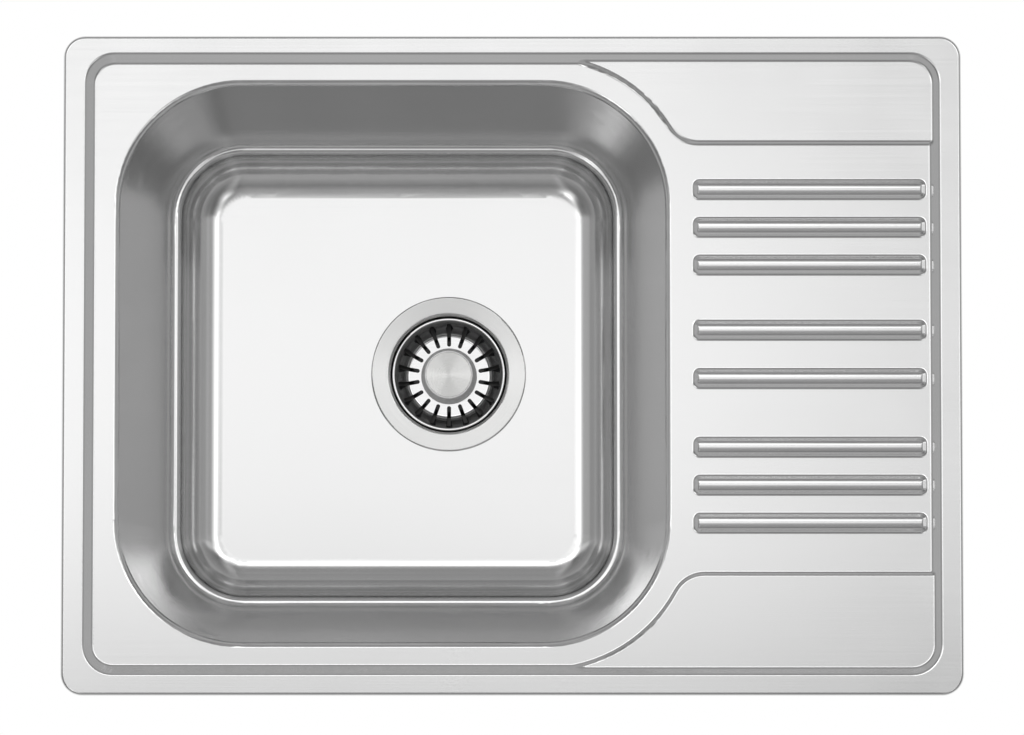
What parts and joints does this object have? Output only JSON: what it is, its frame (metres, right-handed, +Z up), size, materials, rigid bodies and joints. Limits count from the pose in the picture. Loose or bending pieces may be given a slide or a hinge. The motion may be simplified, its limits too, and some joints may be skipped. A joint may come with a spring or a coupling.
{
  "type": "kitchen sink with drainboard",
  "caption": "Inset stainless steel kitchen sink with a deep rounded bowl, a ribbed drainboard, a lift-out basket strainer, a waste outlet and worktop clamps.",
  "frame": {"origin": "middle of the rim's seat, on the plane of the worktop's top", "axes": "+X to the drainboard's end, +Y to the wall behind the sink, +Z up"},
  "size_m": [0.64, 0.47, 0.2368],
  "materials": {
    "stainless_sheet": "satin stainless steel sheet",
    "stainless_strainer": "satin stainless steel, turned",
    "stainless_basket": "polished stainless steel",
    "knob_metal": "bright metal",
    "spun_cap": "spun stainless steel face",
    "zinc_steel": "zinc plated steel",
    "foam": "closed-cell foam",
    "deadening": "bitumen-based pad",
    "seal_rubber": "black rubber",
    "white_plastic": "white polypropylene",
    "grey_plastic": "grey plastic",
    "brass": "turned brass"
  },
  "bodies": {
    "root": {"sink_deck": "stainless_sheet", "sink_bowl": "stainless_sheet", "rim_seal": "foam", "rail_left": "stainless_sheet", "rail_right": "stainless_sheet", "rail_back_left": "stainless_sheet", "rail_back_right": "stainless_sheet", "rail_front_left": "stainless_sheet", "rail_front_right": "stainless_sheet", "bowl_pad": "deadening", "drainer_pad": "deadening", "clamp_brackets": "zinc_steel", "strainer_cup": "stainless_strainer", "flange_seal": "seal_rubber", "body_seal": "seal_rubber", "waste_body": "white_plastic", "waste_tail": "white_plastic", "waste_insert": "brass", "waste_screw": "stainless_strainer"},
    "basket_guide": {"snap_guide": "grey_plastic"},
    "basket_body": {"basket": "stainless_basket", "basket_knob": "knob_metal", "knob_cap": "spun_cap", "basket_stem": "stainless_strainer", "plug_seal": "seal_rubber", "plug_washer": "zinc_steel", "stem_nut": "zinc_steel"},
    "screw_1": {"clamp_screw_1": "zinc_steel"},
    "nut_1": {"clamp_nut_1": "zinc_steel"},
    "jaw_1": {"clamp_jaw_1": "zinc_steel"},
    "screw_2": {"clamp_screw_2": "zinc_steel"},
    "nut_2": {"clamp_nut_2": "zinc_steel"},
    "jaw_2": {"clamp_jaw_2": "zinc_steel"},
    "screw_3": {"clamp_screw_3": "zinc_steel"},
    "nut_3": {"clamp_nut_3": "zinc_steel"},
    "jaw_3": {"clamp_jaw_3": "zinc_steel"},
    "screw_4": {"clamp_screw_4": "zinc_steel"},
    "nut_4": {"clamp_nut_4": "zinc_steel"},
    "jaw_4": {"clamp_jaw_4": "zinc_steel"},
    "screw_5": {"clamp_screw_5": "zinc_steel"},
    "nut_5": {"clamp_nut_5": "zinc_steel"},
    "jaw_5": {"clamp_jaw_5": "zinc_steel"},
    "screw_6": {"clamp_screw_6": "zinc_steel"},
    "nut_6": {"clamp_nut_6": "zinc_steel"},
    "jaw_6": {"clamp_jaw_6": "zinc_steel"},
    "screw_7": {"clamp_screw_7": "zinc_steel"},
    "nut_7": {"clamp_nut_7": "zinc_steel"},
    "jaw_7": {"clamp_jaw_7": "zinc_steel"},
    "screw_8": {"clamp_screw_8": "zinc_steel"},
    "nut_8": {"clamp_nut_8": "zinc_steel"},
    "jaw_8": {"clamp_jaw_8": "zinc_steel"}
  },
  "joints": [
    {"name": "basket_lift", "type": "slide", "parent": "root", "child": "basket_guide", "axis": [0, 0, 1], "range_m": [0, 0.21]},
    {"name": "basket_turn", "type": "hinge", "parent": "basket_guide", "child": "basket_body", "pos_m": [-0.0477, 0.0048, -0.18], "axis": [0, 0, 1], "continuous": true},
    {"name": "screw_turn_1", "type": "hinge", "parent": "root", "child": "screw_1", "pos_m": [-0.30326, -0.095, -0.05], "axis": [0, 0, 1], "range_deg": [0, 6750]},
    {"name": "nut_lift_1", "type": "slide", "parent": "root", "child": "nut_1", "axis": [0, 0, 1], "range_m": [0, 0.015]},
    {"name": "jaw_swing_1", "type": "hinge", "parent": "nut_1", "child": "jaw_1", "pos_m": [-0.30326, -0.095, -0.049], "axis": [0, 0, 1], "range_deg": [0, 90]},
    {"name": "screw_turn_2", "type": "hinge", "parent": "root", "child": "screw_2", "pos_m": [-0.30326, 0.095, -0.05], "axis": [0, 0, 1], "range_deg": [0, 6750]},
    {"name": "nut_lift_2", "type": "slide", "parent": "root", "child": "nut_2", "axis": [0, 0, 1], "range_m": [0, 0.015]},
    {"name": "jaw_swing_2", "type": "hinge", "parent": "nut_2", "child": "jaw_2", "pos_m": [-0.30326, 0.095, -0.049], "axis": [0, 0, 1], "range_deg": [0, 90]},
    {"name": "screw_turn_3", "type": "hinge", "parent": "root", "child": "screw_3", "pos_m": [0.30326, 0.095, -0.05], "axis": [0, 0, 1], "range_deg": [0, 6750]},
    {"name": "nut_lift_3", "type": "slide", "parent": "root", "child": "nut_3", "axis": [0, 0, 1], "range_m": [0, 0.015]},
    {"name": "jaw_swing_3", "type": "hinge", "parent": "nut_3", "child": "jaw_3", "pos_m": [0.30326, 0.095, -0.049], "axis": [0, 0, 1], "range_deg": [0, 90]},
    {"name": "screw_turn_4", "type": "hinge", "parent": "root", "child": "screw_4", "pos_m": [0.30326, -0.095, -0.05], "axis": [0, 0, 1], "range_deg": [0, 6750]},
    {"name": "nut_lift_4", "type": "slide", "parent": "root", "child": "nut_4", "axis": [0, 0, 1], "range_m": [0, 0.015]},
    {"name": "jaw_swing_4", "type": "hinge", "parent": "nut_4", "child": "jaw_4", "pos_m": [0.30326, -0.095, -0.049], "axis": [0, 0, 1], "range_deg": [0, 90]},
    {"name": "screw_turn_5", "type": "hinge", "parent": "root", "child": "screw_5", "pos_m": [-0.13, 0.22116, -0.05], "axis": [0, 0, 1], "range_deg": [0, 6750]},
    {"name": "nut_lift_5", "type": "slide", "parent": "root", "child": "nut_5", "axis": [0, 0, 1], "range_m": [0, 0.015]},
    {"name": "jaw_swing_5", "type": "hinge", "parent": "nut_5", "child": "jaw_5", "pos_m": [-0.13, 0.22116, -0.049], "axis": [0, 0, 1], "range_deg": [0, 90]},
    {"name": "screw_turn_6", "type": "hinge", "parent": "root", "child": "screw_6", "pos_m": [0.18, 0.22116, -0.05], "axis": [0, 0, 1], "range_deg": [0, 6750]},
    {"name": "nut_lift_6", "type": "slide", "parent": "root", "child": "nut_6", "axis": [0, 0, 1], "range_m": [0, 0.015]},
    {"name": "jaw_swing_6", "type": "hinge", "parent": "nut_6", "child": "jaw_6", "pos_m": [0.18, 0.22116, -0.049], "axis": [0, 0, 1], "range_deg": [0, 90]},
    {"name": "screw_turn_7", "type": "hinge", "parent": "root", "child": "screw_7", "pos_m": [-0.13, -0.21886, -0.05], "axis": [0, 0, 1], "range_deg": [0, 6750]},
    {"name": "nut_lift_7", "type": "slide", "parent": "root", "child": "nut_7", "axis": [0, 0, 1], "range_m": [0, 0.015]},
    {"name": "jaw_swing_7", "type": "hinge", "parent": "nut_7", "child": "jaw_7", "pos_m": [-0.13, -0.21886, -0.049], "axis": [0, 0, 1], "range_deg": [0, 90]},
    {"name": "screw_turn_8", "type": "hinge", "parent": "root", "child": "screw_8", "pos_m": [0.18, -0.21886, -0.05], "axis": [0, 0, 1], "range_deg": [0, 6750]},
    {"name": "nut_lift_8", "type": "slide", "parent": "root", "child": "nut_8", "axis": [0, 0, 1], "range_m": [0, 0.015]},
    {"name": "jaw_swing_8", "type": "hinge", "parent": "nut_8", "child": "jaw_8", "pos_m": [0.18, -0.21886, -0.049], "axis": [0, 0, 1], "range_deg": [0, 90]}
  ]
}
